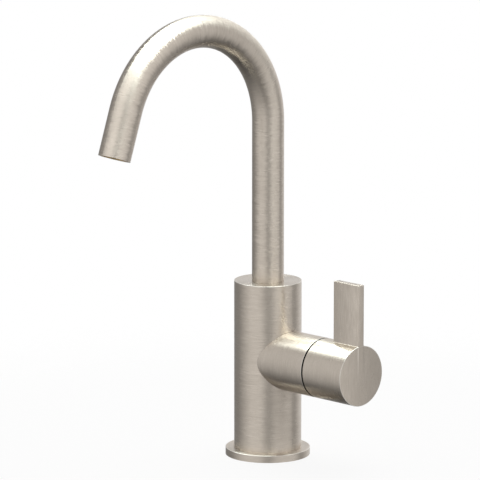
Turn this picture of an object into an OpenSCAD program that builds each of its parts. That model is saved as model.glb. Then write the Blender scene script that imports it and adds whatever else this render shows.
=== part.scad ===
// Basin mixer tap with a swivelling gooseneck spout and a side lever.
// Millimetres. The origin is the middle of the flange's underside, on the deck. +Z is up,
// the spout reaches towards -Y, where the user stands, and the lever is on the +X side.

/* [Base flange] */
// Diameter of the flange that stands on the deck
flange_d = 58.5; // [54:0.5:70]
// Height of the flange
flange_h = 5; // [4:0.5:9]
// Hole in the flange that the column's foot drops into
flange_bore_d = 38; // [36:0.5:40]
// Inner diameter of the rubber gasket in the flange's underside
gasket_in_d = 43; // [41:0.5:45]
// Width of the gasket's ring
gasket_w = 5; // [3:0.5:6]
// Thickness of the gasket
gasket_t = 2; // [1:0.1:3]

/* [Column] */
// Diameter of the column
column_d = 46.5; // [45:0.5:52]
// Height of the column above the flange
column_h = 117.5; // [115:0.5:160]
// How far the column's foot stays above the deck
foot_lift = 0.5; // [0.2:0.1:1.5]
// Chamfer on the turned outer edges
edge_chamfer = 0.5; // [0.2:0.1:1]

/* [Inlets and fixing] */
// Tapping hole of each inlet, for an M10 x 1 hose end
inlet_d = 9; // [8:0.1:10]
// Depth of the thread in each inlet
inlet_depth = 16; // [12:0.5:24]
// Distance between the two inlets
inlet_spacing = 18; // [16:0.5:20]
// Tapping hole for the fixing stud, an M8
stud_d = 6.8; // [5:0.1:8.5]
// Depth of the thread for the stud
stud_depth = 16; // [12:0.5:24]
// Distance of the stud from the column's axis
stud_offset = 12; // [11:0.5:13]
// Bore of the two inlet waterways
waterway_d = 6; // [5:0.5:6.5]
// Distance between the two inlet waterways
waterway_spacing = 14; // [13:0.5:15]
// Bore of the waterway that rises to the spout
rising_bore_d = 9; // [7:0.5:11]

/* [Spout] */
// Outer diameter of the spout's tube
tube_d = 22; // [20:0.5:24]
// Wall of the spout's tube
tube_wall = 1.5; // [1:0.1:2]
// Straight part of the spout above the column
riser_h = 111; // [80:1:180]
// Radius of the bend, to the middle of the tube
bend_r = 68.5; // [50:0.5:100]
// Angle that the tube is bent through
bend_angle = 161; // [140:1:180]
// Straight part after the bend
tail_l = 32.5; // [24:0.5:60]
// How far the tube goes down into the column
tube_sink = 5.5; // [4:0.5:8]
// How far the spout swings to each side
spout_swing = 60; // [20:5:80]

/* [Spout foot] */
// Depth of the socket in the column's top
socket_depth = 27.5; // [25.5:0.5:29]
// Water passage through the foot
foot_bore_d = 12; // [8:0.5:13]
// How far the foot's neck goes up into the tube
foot_neck_l = 12; // [8:0.5:20]
// Thickness of the glide ring under the foot
foot_ring_t = 2; // [1:0.1:2.5]
// Water passage through the glide ring
foot_ring_bore_d = 14; // [11.5:0.5:16]
// Thickness of the two sealing rings' rubber cord
oring_cord = 1.8; // [1.5:0.1:2]
// Distance of each sealing ring from its end of the foot
oring_inset = 3.2; // [2.5:0.1:3.5]
// Thread diameter of the screw that stops the spout's swing
stop_screw_d = 5; // [4:0.5:6]
// Diameter of the stop screw's plain tip
stop_tip_d = 3; // [2:0.1:3.5]
// How far the stop screw's tip reaches into the foot's groove
stop_reach = 2; // [1.2:0.1:2.2]

/* [Side barrel] */
// Height of the valve's axis above the deck
valve_z = 69; // [62:0.5:72]
// Diameter of the barrel and of the handle's hub
barrel_d = 41.5; // [40.5:0.5:43]
// Distance from the column's axis to the barrel's mouth
barrel_end = 52.5; // [50.5:0.5:60]
// Distance from the column's axis to the seat that the cartridge stands on
seat_x = 10; // [9:0.5:10]
// Visible gap between the barrel and the hub
parting_gap = 1; // [0.6:0.1:2]
// Width of the dark ring's shoulder in the parting gap
ring_shoulder_t = 0.8; // [0.3:0.1:0.9]
// How far the dark ring lies below the barrel's surface
ring_recess = 0.8; // [0.4:0.1:1.5]
// Length of the dark ring's skirt inside the barrel
ring_skirt_l = 6; // [4:0.5:6.5]
// Bore of the dark ring, which guides the hub
guide_d = 33.6; // [33:0.1:35]

/* [Cartridge] */
// Diameter of the cartridge's housing
cartridge_d = 35; // [34:0.5:36]
// Bore of the housing, where the discs lie
chamber_d = 29; // [28:0.5:30]
// Thickness of the rubber seal on the seat
seal_t = 1; // [0.5:0.1:2]
// Thickness of the base's plate
base_t = 3; // [2:0.1:4]
// Height of the base's step inside the housing
base_step = 2.5; // [1.5:0.1:4]
// Thickness of each ceramic disc
disc_t = 3.5; // [2.5:0.1:4]
// Diameter of the turning disc
moving_disc_d = 25; // [24.5:0.5:26]
// Length of the carrier that turns the disc
carrier_l = 7.3; // [6.5:0.1:8]
// Width of the key on the carrier that drives the turning disc
key_w = 3; // [2:0.5:5]
// Height of the key
key_h = 0.8; // [0.5:0.1:1]
// Width of the square tang that drives the carrier
tang_w = 6.6; // [5:0.2:6.8]
// Length of the square tang
tang_l = 5; // [3:0.5:6]
// Thickness of the housing's end wall
cap_t = 4; // [3:0.5:4.5]
// Diameter of the housing's neck
neck_d = 25; // [20:0.5:27]
// Length of the housing's neck
neck_l = 8; // [6:0.5:8.5]
// Diameter of the stem where it runs in the neck
stem_d = 10; // [9:0.1:11]
// Thickness of the stem's sealing ring
stem_cord = 1.4; // [1:0.1:1.8]
// Distance of the inlet ports from the cartridge's axis
port_ring_r = 9; // [8.5:0.1:9.3]
// Angle of each inlet port from the lowest point
port_spread = 27; // [25:1:30]
// Diameter of the two inlet ports
inlet_port_d = 5.8; // [5:0.1:6]
// Diameter of the outlet port in the middle
outlet_port_d = 6.6; // [5:0.1:7]
// Diameter of the two pegs that locate the cartridge
peg_d = 3.8; // [2.5:0.1:4.5]
// Length of the two pegs
peg_l = 3; // [2:0.5:4]
// Distance of the pegs from the cartridge's axis
peg_ring_r = 13; // [12:0.5:14]
// Angle of each peg from the highest point
peg_spread = 62; // [50:2:80]
// Number of teeth on the stem's spline
spline_teeth = 20; // [12:1:30]
// Diameter over the spline's teeth
spline_d = 9; // [8:0.1:9]
// Depth of the spline's teeth
spline_depth = 0.6; // [0.3:0.1:0.9]
// How far the plain part of the stem stands out of the neck
stem_out = 1; // [0.5:0.1:2]
// Width of the rubber seal round each port
seal_w = 1.6; // [1:0.1:2]
// How far the key's ends lie inside the turning disc's rim
key_inset = 1; // [0.5:0.5:3]

/* [Retaining nut] */
// Thickness of the nut that holds the cartridge down
nut_t = 8; // [5:0.5:8.5]
// How much further out than the housing the nut's thread lies
nut_step = 1; // [0.6:0.1:1.2]
// Number of spanner slots in the nut
nut_slots = 6; // [4:1:8]
// Width of each spanner slot
nut_slot_w = 4; // [3:0.5:5]
// Depth of each spanner slot
nut_slot_depth = 3; // [2:0.5:4]
// Width of the nut's ring inside its spanner slots
nut_ring_w = 2.3; // [1.5:0.1:4]
// How far the barrel's thread goes on behind the nut
nut_relief = 1; // [0.5:0.1:2]

/* [Handle] */
// Length of the hub
hub_l = 35.5; // [32:0.5:45]
// Bore of the hollow in the hub
hub_hollow_d = 30.8; // [29:0.2:31]
// Length of the hub's pilot, which turns in the dark ring
pilot_l = 2.5; // [1.5:0.5:4]
// Thickness of the hub's end wall
hub_end_t = 5; // [3:0.5:7]
// Diameter of the boss inside the hub
boss_d = 22; // [19:0.5:24]
// How far inside the hub's rim the boss starts
boss_inset = 2.5; // [1:0.5:4]
// Width of the rib that holds the blade's tongue
rib_w = 9.5; // [8.5:0.5:14]
// Width of the pad that the grub screw goes through
pad_w = 10; // [8:0.5:14]
// Diameter of the adapter on the stem
adapter_d = 15; // [13:0.5:16]
// How far the adapter stands out of the boss
adapter_out = 6; // [5:0.5:7]
// How far the adapter sits in the boss
adapter_in = 12; // [10:0.5:14]
// How far the stem's end reaches past the hub's rim
stem_reach = 6.5; // [4:0.5:8]
// Width of the lever's blade along the hub
blade_w = 22.8; // [18:0.2:26]
// Thickness of the lever's blade
blade_t = 5.4; // [4:0.2:7]
// Distance from the hub's axis to the blade's tip
blade_reach = 62.7; // [45:0.1:90]
// Chamfer on the blade's edges
blade_chamfer = 0.4; // [0.2:0.1:1]
// How far the tongue is set back from each face of the blade
tongue_set = 0.6; // [0.3:0.1:1]
// How far the tongue is set in from each edge of the blade
tongue_inset = 2.5; // [1.5:0.5:4]
// How deep the tongue goes into the hub
tongue_l = 7; // [4:0.5:8]
// How far the lever turns, from shut to hot
lever_swing = 90; // [60:5:100]
// Thread diameter of the hub's grub screw
grub_d = 5; // [3:0.5:6]
// Distance of the grub screw from the hub's rim
grub_x = 8.5; // [6:0.5:10.5]
// Depth of the dimple that the grub screw's point seats in
dimple = 0.8; // [0.4:0.1:1.2]
// How far a grub screw's end lies below the surface
screw_set = 0.6; // [0.2:0.1:1.5]

/* [Outlet] */
// Thread diameter of the aerator
aerator_d = 16.5; // [15.5:0.1:16.8]
// Length of the aerator's shell
aerator_l = 7; // [6:0.5:9]
// How far the outlet ring lies inside the tube's end
outlet_recess = 0.4; // [0.2:0.1:1]
// How far the aerator lies inside the outlet ring
aerator_recess = 0.6; // [0.2:0.1:1.5]
// Thickness of the aerator's washer
washer_t = 1.1; // [0.8:0.1:2]
// Thickness of the outlet ring's inner shoulder
outlet_shoulder_t = 3; // [2:0.5:5]
// Wall of the aerator's shell
aerator_wall = 1.2; // [0.8:0.1:1.6]
// Height of the lip at the shell's mouth, which the honeycomb stands on
lip_h = 1.4; // [1.2:0.1:2]
// Width of the lip
lip_w = 0.6; // [0.4:0.1:1]
// Thickness of the honeycomb plate
honeycomb_t = 2.4; // [1.5:0.1:3]
// Distance between the honeycomb's cells
cell_pitch = 1.8; // [1.6:0.1:2.2]
// Wall between the honeycomb's cells
cell_wall = 0.4; // [0.3:0.1:0.6]
// Plain rim round the honeycomb's cells
honeycomb_rim = 1; // [0.5:0.1:2]
// Number of notches in the aerator's rim, for its key
key_notches = 6; // [4:1:10]
// Width of each notch, and its depth
notch_w = 1.2; // [0.8:0.1:2]
// Height of the filter behind the honeycomb
filter_h = 2.6; // [1.5:0.1:3]
// Wall of the filter
filter_wall = 0.6; // [0.4:0.1:1]
// How far the filter's side leans in
filter_slope = 1.4; // [0.5:0.1:3]
// Number of holes round the one in the filter's middle
filter_holes = 6; // [3:1:8]
// Diameter of the filter's holes
filter_hole_d = 1.4; // [0.8:0.1:1.8]

/* [Fits] */
// Radial clearance of a turning piece in its bore
run_gap = 0.05; // [0.02:0.01:0.1]
// Axial clearance between pieces that turn on each other
face_gap = 0.1; // [0.05:0.01:0.2]
// Radial clearance of the hub's pilot in the dark ring
guide_gap = 0.08; // [0.02:0.01:0.1]
// Clearance of a brazed joint
braze_gap = 0.05; // [0.02:0.01:0.1]
// Clearance all round a piece that drops into its seat
seat_gap = 0.1; // [0.05:0.05:0.2]
// Radial clearance of a screw in its thread
thread_gap = 0.05; // [0.02:0.01:0.1]
// Clearance all round a moving stop, lug or tip
stop_gap = 0.2; // [0.1:0.05:0.3]

/* [Hidden] */
$fn = 96;
eps = 0.01;
through = 200;
// How far a cutter runs past a surface, or a rib into the wall that it grows from.
over = 1;

column_r = column_d / 2;
column_top = flange_h + column_h;
foot_r = flange_bore_d / 2 - seat_gap;
gasket_in_r = gasket_in_d / 2;
gasket_out_r = gasket_in_r + gasket_w;

tube_r = tube_d / 2;
bore_r = tube_r - tube_wall;
bend_z = column_top + riser_h;

socket_r = tube_r + run_gap;
socket_floor = column_top - socket_depth;
tube_end = column_top - tube_sink;
foot_bottom = socket_floor + foot_ring_t + face_gap;
stop_z = (foot_bottom + tube_end) / 2;
groove_floor = tube_r - oring_cord - 2 * seat_gap;
stop_floor = tube_r - stop_reach - stop_gap;
stop_angle = spout_swing + asin((stop_tip_d / 2 + stop_gap) / stop_floor);

barrel_r = barrel_d / 2;
cartridge_r = cartridge_d / 2;
chamber_r = chamber_d / 2;
nut_r = cartridge_r + nut_step;
mouth_r = nut_r + thread_gap;
hub_x = barrel_end + parting_gap;
hub_end = hub_x + hub_l;

plate_x = seat_x + seal_t;
step_x = plate_x + base_t;
fixed_x = step_x + base_step;
moving_x = fixed_x + disc_t + face_gap;
carrier_x = moving_x + disc_t;
carrier_end = carrier_x + carrier_l;
cap_x = carrier_end + face_gap;
shoulder_x = cap_x + cap_t;
neck_end = shoulder_x + neck_l;
stem_seal_x = (shoulder_x + neck_end) / 2;
stem_groove_r = stem_d / 2 - stem_cord - 2 * seat_gap;
spline_x = neck_end + stem_out;
stem_end = hub_x + stem_reach;
spline_r = spline_d / 2;

boss_x = hub_x + boss_inset;
adapter_x = boss_x - adapter_out;
adapter_end = boss_x + adapter_in;
adapter_r = adapter_d / 2;
blade_x = hub_end - blade_w;
grub_point_d = 0.6 * grub_d;

// Each port's place on the seat, as [down, back] from the valve's axis.
inlet_ports = [for (side = [-1, 1]) port_ring_r * [cos(port_spread), side * sin(port_spread)]];
pegs = [for (side = [-1, 1]) peg_ring_r * [-cos(peg_spread), side * sin(peg_spread)]];
// At rest the turning disc's opening lies this far before the first inlet port.
port_lead = 45;
opening_angle = 40;
port_land = 0.4;
// The lug that limits the lever's turn lies under the blade, at 180 degrees about the axis.
lug_at = 180;
lug_angle = 24;
lug_h = 1;
// It meets each stop this far past the end of the lever's turn, in degrees.
stop_slack = 1;

aerator_r = aerator_d / 2;
aerator_z = outlet_recess + aerator_recess;
washer_z = aerator_z + aerator_l;
shoulder_z = washer_z + washer_t;

// Stands a piece on the valve's axis, its base at x and its top towards the handle.
module on_valve(x) {
    translate([x, 0, valve_z]) rotate([0, 90, 0]) children();
}

// The plane of the bend, seen from the lever's side, with the bend's middle at its origin.
module on_bend() {
    translate([0, -bend_r, bend_z]) rotate([90, 0, 90]) children();
}

// Places a piece at the spout's mouth, with its height running back up the tube.
module at_outlet() {
    on_bend() rotate([0, 0, bend_angle]) translate([bend_r, tail_l, 0]) rotate([90, 0, 0]) children();
}

// A ring about the Z axis.
module ring(outer, inner, h) {
    difference() {
        cylinder(r = outer, h = h);
        translate([0, 0, -eps]) cylinder(r = inner, h = h + 2 * eps);
    }
}

// A sealing ring of round cord, lying in its groove.
module oring(floor_r, cord) {
    rotate_extrude() translate([floor_r + run_gap + cord / 2, 0]) circle(d = cord);
}

// The groove for a sealing ring, cut in a shaft of the given radius.
module oring_groove(shaft_r, floor_r, cord) {
    translate([0, 0, -cord / 2 - seat_gap]) ring(shaft_r + over, floor_r, cord + 2 * seat_gap);
}

// A turned cylinder with a chamfered rim at its top, and at its foot if asked.
module turned(r, h, foot_chamfer = 0) {
    c = edge_chamfer;
    f = foot_chamfer;
    rotate_extrude() polygon([[0, 0], [r - f, 0], [r, f], [r, h - c], [r - c, h], [0, h]]);
}

// A grub screw with a hexagon socket in its outer end and a plain point on its inner one.
module grub_screw(d, length, point_d, point_l) {
    socket_w = d / 2;
    difference() {
        union() {
            cylinder(d = d, h = length);
            translate([0, 0, -point_l]) cylinder(d = point_d, h = point_l + eps);
        }
        translate([0, 0, length - socket_w]) cylinder(d = socket_w / cos(30), h = through, $fn = 6);
    }
}

// The spline's outline, wider by a clearance for the socket.
module spline_outline(gap) {
    tip = spline_r + gap;
    root = tip - spline_depth;
    step = 360 / spline_teeth;
    polygon([for (i = [0:spline_teeth - 1], t = [[tip, 0], [tip, 0.3], [root, 0.5], [root, 0.8]])
        t[0] * [cos((i + t[1]) * step), sin((i + t[1]) * step)]]);
}

module base_gasket() {
    color("#2b2b2b") ring(gasket_out_r, gasket_in_r, gasket_t);
}

module base_flange() {
    color("#b8b0a2") difference() {
        turned(flange_d / 2, flange_h);
        translate([0, 0, -eps]) cylinder(d = flange_bore_d, h = through);
        translate([0, 0, -eps]) ring(gasket_out_r + seat_gap, gasket_in_r - seat_gap, gasket_t + eps);
    }
}

// The two inlet ports and the outlet port between them, through all that lies on the seat.
module cartridge_ports() {
    for (p = inlet_ports) on_valve(0) translate(p) cylinder(d = inlet_port_d, h = through);
    on_valve(0) cylinder(d = outlet_port_d, h = through);
}

// The threads and waterways that are drilled up from the column's foot.
module foot_drillings() {
    top = valve_z - inlet_ports[0][0] + inlet_port_d / 2;
    for (side = [-1, 1]) {
        translate([0, side * inlet_spacing / 2, 0]) cylinder(d = inlet_d, h = foot_lift + inlet_depth);
        translate([0, side * waterway_spacing / 2, foot_lift])
            cylinder(d = waterway_d, h = top - foot_lift);
    }
    translate([-stud_offset, 0, 0]) cylinder(d = stud_d, h = foot_lift + stud_depth);
}

// The ports that are drilled into the seat from the side, and the bore that rises to the spout.
module seat_drillings() {
    cartridge_ports();
    for (p = pegs) on_valve(seat_x - peg_l - seat_gap) translate(p)
        cylinder(d = peg_d + 2 * seat_gap, h = through);
    rise = valve_z - outlet_port_d / 2;
    translate([0, 0, rise]) cylinder(d = rising_bore_d, h = socket_floor - rise + eps);
}

module column() {
    color("#b8b0a2") difference() {
        union() {
            translate([0, 0, flange_h]) turned(column_r, column_h);
            translate([0, 0, foot_lift]) cylinder(r = foot_r, h = flange_h - foot_lift + eps);
        }
        translate([0, 0, socket_floor]) cylinder(r = socket_r, h = through);
        on_valve(seat_x) cylinder(r = barrel_r + braze_gap, h = through);
        translate([0, 0, stop_z]) rotate([-90, 0, 0])
            cylinder(d = stop_screw_d + 2 * thread_gap, h = through);
        foot_drillings();
        seat_drillings();
    }
}

// The barrel is a sleeve brazed into a pocket in the column's side, so it meets the round column
// along a saddle.
module valve_barrel() {
    color("#b8b0a2") difference() {
        on_valve(seat_x) turned(barrel_r, barrel_end - seat_x);
        on_valve(seat_x - eps) cylinder(r = cartridge_r + seat_gap, h = through);
        on_valve(shoulder_x - nut_relief) cylinder(r = mouth_r, h = through);
    }
}

module spout_stop_screw() {
    body_from = socket_r + stop_gap;
    color("#6d6a66") translate([0, body_from, stop_z]) rotate([-90, 0, 0])
        grub_screw(stop_screw_d, column_r - screw_set - body_from, stop_tip_d,
            body_from - tube_r + stop_reach);
}

module spout_glide_ring() {
    color("#e8e6df") translate([0, 0, socket_floor])
        ring(socket_r - seat_gap, foot_ring_bore_d / 2, foot_ring_t);
}

module cartridge_seal() {
    color("#3a3a3a") difference() {
        on_valve(seat_x) union() {
            for (p = inlet_ports) translate(p) cylinder(d = inlet_port_d + 2 * seal_w, h = seal_t);
            cylinder(d = outlet_port_d + 2 * seal_w, h = seal_t);
        }
        cartridge_ports();
    }
}

module cartridge_base() {
    color("#d8d4c8") difference() {
        union() {
            on_valve(plate_x) cylinder(r = cartridge_r, h = base_t);
            on_valve(step_x - eps) cylinder(r = chamber_r - seat_gap, h = base_step + eps);
            for (p = pegs) on_valve(seat_x - peg_l) translate(p)
                cylinder(d = peg_d, h = peg_l + seal_t + eps);
        }
        cartridge_ports();
    }
}

module fixed_disc() {
    color("#f2efe6") difference() {
        on_valve(fixed_x) cylinder(r = chamber_r - 2 * seat_gap, h = disc_t);
        cartridge_ports();
    }
}

// The turning disc lets water from one port or both into a hollow over the outlet.
module moving_disc() {
    hollow = 0.4 * disc_t;
    first = -port_spread - port_lead - opening_angle / 2;
    reach = port_ring_r + inlet_port_d / 2 - port_land;
    color("#f2efe6") difference() {
        on_valve(moving_x) cylinder(d = moving_disc_d, h = disc_t);
        on_valve(moving_x - eps) cylinder(d = outlet_port_d, h = hollow + eps);
        on_valve(moving_x - eps) rotate([0, 0, first])
            rotate_extrude(angle = opening_angle) square([reach, hollow + eps]);
        on_valve(carrier_x)
            cube([through, key_w + 2 * seat_gap, 2 * (key_h + seat_gap)], center = true);
    }
}

// The carrier grips the turning disc, and its lug stops the lever at both ends of its turn.
module disc_carrier() {
    body_r = chamber_r - lug_h - stop_gap;
    color("#c9c4b6") difference() {
        union() {
            on_valve(carrier_x) cylinder(r = body_r, h = carrier_l);
            on_valve(carrier_x) cube([moving_disc_d - 2 * key_inset, key_w, 2 * key_h], center = true);
            on_valve(carrier_x) rotate([0, 0, lug_at - lug_angle / 2])
                rotate_extrude(angle = lug_angle) square([chamber_r - stop_gap, carrier_l]);
        }
        on_valve(carrier_end - tang_l - seat_gap) translate([0, 0, through / 2])
            cube([tang_w + 2 * seat_gap, tang_w + 2 * seat_gap, through], center = true);
    }
}

module cartridge_housing() {
    stop_from = lug_at + lug_angle / 2 + lever_swing + stop_slack;
    stop_span = 360 - lever_swing - lug_angle - 2 * stop_slack;
    color("#ded9cb") difference() {
        union() {
            on_valve(step_x) ring(cartridge_r, chamber_r, shoulder_x - step_x);
            on_valve(cap_x) cylinder(r = chamber_r + eps, h = cap_t);
            on_valve(shoulder_x - eps) cylinder(d = neck_d, h = neck_l + eps);
            on_valve(carrier_x) rotate([0, 0, stop_from]) rotate_extrude(angle = stop_span)
                translate([chamber_r - lug_h, 0]) square([lug_h + eps, cap_x - carrier_x + eps]);
        }
        on_valve(cap_x - eps) cylinder(d = stem_d + 2 * run_gap, h = through);
    }
}

module cartridge_nut() {
    hole_r = neck_d / 2 + 2 * seat_gap;
    color("#c8a45a") difference() {
        on_valve(shoulder_x) ring(nut_r, hole_r, nut_t);
        for (i = [0:nut_slots - 1]) on_valve(shoulder_x + nut_t - nut_slot_depth)
            rotate([0, 0, i * 360 / nut_slots]) translate([hole_r + nut_ring_w, -nut_slot_w / 2, 0])
                cube([through, nut_slot_w, through]);
    }
}

// The dark ring fills the parting line and guides the hub.
module parting_ring() {
    color("#26231f") difference() {
        union() {
            on_valve(barrel_end - ring_skirt_l) cylinder(r = mouth_r - seat_gap, h = ring_skirt_l + eps);
            on_valve(barrel_end) cylinder(r = barrel_r - ring_recess, h = ring_shoulder_t);
        }
        on_valve(0) cylinder(d = guide_d, h = through);
    }
}

// The spout's path as a solid rod of radius r: the riser, the bend and the tail. The bend runs on
// past its end and is cut square there, so that the tail meets it in one flat face.
module spout_rod(r) {
    past = 5;
    translate([0, 0, tube_end]) cylinder(r = r, h = bend_z - tube_end);
    on_bend() difference() {
        rotate_extrude(angle = bend_angle + past) translate([bend_r, 0]) circle(r = r);
        rotate([0, 0, bend_angle]) translate([0, 0, -through / 2]) cube(through);
    }
    on_bend() rotate([0, 0, bend_angle]) translate([bend_r, 0, 0]) rotate([-90, 0, 0])
        cylinder(r = r, h = tail_l);
}

module spout_tube() {
    color("#b8b0a2") difference() {
        union() { spout_rod(tube_r); }
        union() { spout_rod(bore_r); }
    }
}

// The foot is brazed into the tube. It seals in the socket and carries the groove for the stop.
module spout_foot() {
    color("#c8a45a") difference() {
        union() {
            translate([0, 0, foot_bottom]) cylinder(r = tube_r, h = tube_end - foot_bottom);
            translate([0, 0, tube_end - eps]) cylinder(r = bore_r - braze_gap, h = foot_neck_l);
        }
        translate([0, 0, foot_bottom - eps]) cylinder(d = foot_bore_d, h = through);
        for (z = [foot_bottom + oring_inset, tube_end - oring_inset])
            translate([0, 0, z]) oring_groove(tube_r, groove_floor, oring_cord);
        translate([0, 0, stop_z - stop_tip_d / 2 - stop_gap]) rotate([0, 0, 90 - stop_angle])
            rotate_extrude(angle = 2 * stop_angle) translate([stop_floor, 0])
                square([through, stop_tip_d + 2 * stop_gap]);
    }
}

module spout_orings() {
    color("#1f1f1f") for (z = [foot_bottom + oring_inset, tube_end - oring_inset])
        translate([0, 0, z]) oring(groove_floor, oring_cord);
}

module outlet_ring() {
    color("#c8a45a") at_outlet() difference() {
        translate([0, 0, outlet_recess])
            cylinder(r = bore_r - braze_gap, h = shoulder_z + outlet_shoulder_t - outlet_recess);
        translate([0, 0, -eps]) cylinder(r = aerator_r + thread_gap, h = shoulder_z + eps);
        cylinder(r = aerator_r - aerator_wall, h = through);
    }
}

module aerator_washer() {
    color("#1f1f1f") at_outlet() translate([0, 0, washer_z])
        ring(aerator_r - seat_gap, aerator_r - aerator_wall, washer_t);
}

module aerator_shell() {
    inner_r = aerator_r - aerator_wall;
    color("#3b3a38") at_outlet() translate([0, 0, aerator_z]) difference() {
        cylinder(r = aerator_r, h = aerator_l);
        translate([0, 0, lip_h]) cylinder(r = inner_r, h = through);
        translate([0, 0, -eps]) cylinder(r = inner_r - lip_w, h = through);
        for (i = [0:key_notches - 1]) rotate([0, 0, i * 360 / key_notches])
            translate([inner_r - lip_w - over, -notch_w / 2, -eps]) cube([through, notch_w, notch_w]);
    }
}

// The plate that splits the stream into jets: a honeycomb inside a plain rim.
module aerator_honeycomb() {
    plate_r = aerator_r - aerator_wall - run_gap;
    cell_r = (cell_pitch - cell_wall) / 2 / cos(30);
    rows = floor((plate_r - honeycomb_rim) / cell_pitch);
    color("#4a4845") at_outlet() translate([0, 0, aerator_z + lip_h]) difference() {
        cylinder(r = plate_r, h = honeycomb_t);
        for (i = [-rows:rows], j = [-rows:rows]) {
            p = cell_pitch * [i + j / 2, j * sin(60)];
            if (norm(p) + cell_r < plate_r - honeycomb_rim)
                translate([p[0], p[1], -eps]) rotate([0, 0, 30]) cylinder(r = cell_r, h = through, $fn = 6);
        }
    }
}

// The domed filter that keeps grit off the honeycomb.
module aerator_filter() {
    dome_r = aerator_r - aerator_wall - run_gap;
    top_r = dome_r - filter_slope;
    hole_ring_r = 0.6 * top_r;
    color("#d9d6cc") at_outlet() translate([0, 0, aerator_z + lip_h + honeycomb_t]) difference() {
        rotate_extrude() polygon([[dome_r - filter_wall, 0], [dome_r, 0], [top_r, filter_h],
            [0, filter_h], [0, filter_h - filter_wall], [top_r - filter_wall, filter_h - filter_wall]]);
        for (i = [0:filter_holes - 1]) rotate([0, 0, i * 360 / filter_holes])
            translate([hole_ring_r, 0, 0]) cylinder(d = filter_hole_d, h = through);
        cylinder(d = filter_hole_d, h = through);
    }
}

module cartridge_stem() {
    color("#c8a45a") union() {
        on_valve(carrier_end - tang_l) translate([-tang_w / 2, -tang_w / 2, 0])
            cube([tang_w, tang_w, tang_l + eps]);
        difference() {
            on_valve(carrier_end) cylinder(d = stem_d, h = spline_x - carrier_end);
            on_valve(stem_seal_x) oring_groove(stem_d / 2, stem_groove_r, stem_cord);
        }
        on_valve(spline_x - eps) linear_extrude(stem_end - spline_x + eps) spline_outline(0);
    }
}

module stem_oring() {
    color("#1f1f1f") on_valve(stem_seal_x) oring(stem_groove_r, stem_cord);
}

module handle_adapter() {
    color("#8f8b84") difference() {
        on_valve(adapter_x) cylinder(r = adapter_r, h = adapter_end - adapter_x);
        on_valve(adapter_x - eps) linear_extrude(stem_end + over - adapter_x) spline_outline(seat_gap);
        on_valve(hub_x + grub_x) translate([adapter_r - dimple, 0, 0]) rotate([0, 90, 0])
            cylinder(d = grub_point_d + 2 * thread_gap, h = through);
    }
}

// The lever's blade grows out of the round hub, with its outer edge flush with the hub's end.
module blade_outline() {
    c = blade_chamfer;
    w = blade_w;
    t = blade_t / 2;
    top = blade_reach;
    intersection() {
        linear_extrude(top) polygon([[0, c - t], [c, -t], [w - c, -t], [w, c - t],
            [w, t - c], [w - c, t], [c, t], [0, t - c]]);
        rotate([90, 0, 0]) linear_extrude(through, center = true)
            polygon([[0, 0], [w, 0], [w, top - c], [w - c, top], [c, top], [0, top - c]]);
        rotate([90, 0, 90]) linear_extrude(w)
            polygon([[-t, 0], [t, 0], [t, top - c], [t - c, top], [c - t, top], [-t, top - c]]);
    }
}

// The tongue under the blade, or the slot for it, wider by a clearance.
module tongue(gap) {
    t = blade_t - 2 * tongue_set + 2 * gap;
    foot = barrel_r - tongue_l - gap;
    translate([blade_x + tongue_inset - gap, -t / 2, valve_z + foot])
        cube([blade_w - 2 * tongue_inset + 2 * gap, t, barrel_r + over - foot]);
}

module lever_blade() {
    color("#b2aa9b") union() {
        difference() {
            translate([blade_x, 0, valve_z]) blade_outline();
            on_valve(hub_x) turned(barrel_r + braze_gap, hub_l, edge_chamfer);
        }
        tongue(0);
    }
}

module handle_hub() {
    hollow_r = hub_hollow_d / 2;
    inner_end = hub_end - hub_end_t;
    color("#b8b0a2") difference() {
        union() {
            difference() {
                on_valve(hub_x) turned(barrel_r, hub_l, edge_chamfer);
                on_valve(hub_x - eps) cylinder(r = hollow_r, h = inner_end - hub_x + eps);
            }
            on_valve(hub_x - pilot_l) ring(guide_d / 2 - guide_gap, hollow_r, pilot_l + eps);
            on_valve(boss_x) cylinder(d = boss_d, h = inner_end - boss_x + eps);
            translate([blade_x, -rib_w / 2, valve_z])
                cube([inner_end - blade_x + eps, rib_w, hollow_r + over]);
            translate([boss_x, -pad_w / 2, valve_z - hollow_r - over])
                cube([2 * (hub_x + grub_x - boss_x), pad_w, hollow_r + over]);
        }
        on_valve(boss_x - eps) cylinder(r = adapter_r + thread_gap, h = adapter_in + eps);
        tongue(braze_gap);
        translate([hub_x + grub_x, 0, valve_z]) rotate([180, 0, 0])
            cylinder(d = grub_d + 2 * thread_gap, h = through);
    }
}

module hub_grub_screw() {
    from = adapter_r + thread_gap;
    color("#6d6a66") translate([hub_x + grub_x, 0, valve_z - from]) rotate([180, 0, 0])
        grub_screw(grub_d, barrel_r - screw_set - from, grub_point_d, thread_gap + dimple - seat_gap);
}

base_gasket();
base_flange();
column();
valve_barrel();
spout_stop_screw();
spout_glide_ring();
cartridge_seal();
cartridge_base();
fixed_disc();
cartridge_housing();
cartridge_nut();
parting_ring();
spout_tube();
spout_foot();
spout_orings();
outlet_ring();
aerator_washer();
aerator_shell();
aerator_honeycomb();
aerator_filter();
moving_disc();
disc_carrier();
cartridge_stem();
stem_oring();
handle_adapter();
handle_hub();
lever_blade();
hub_grub_screw();
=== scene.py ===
import math

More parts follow.
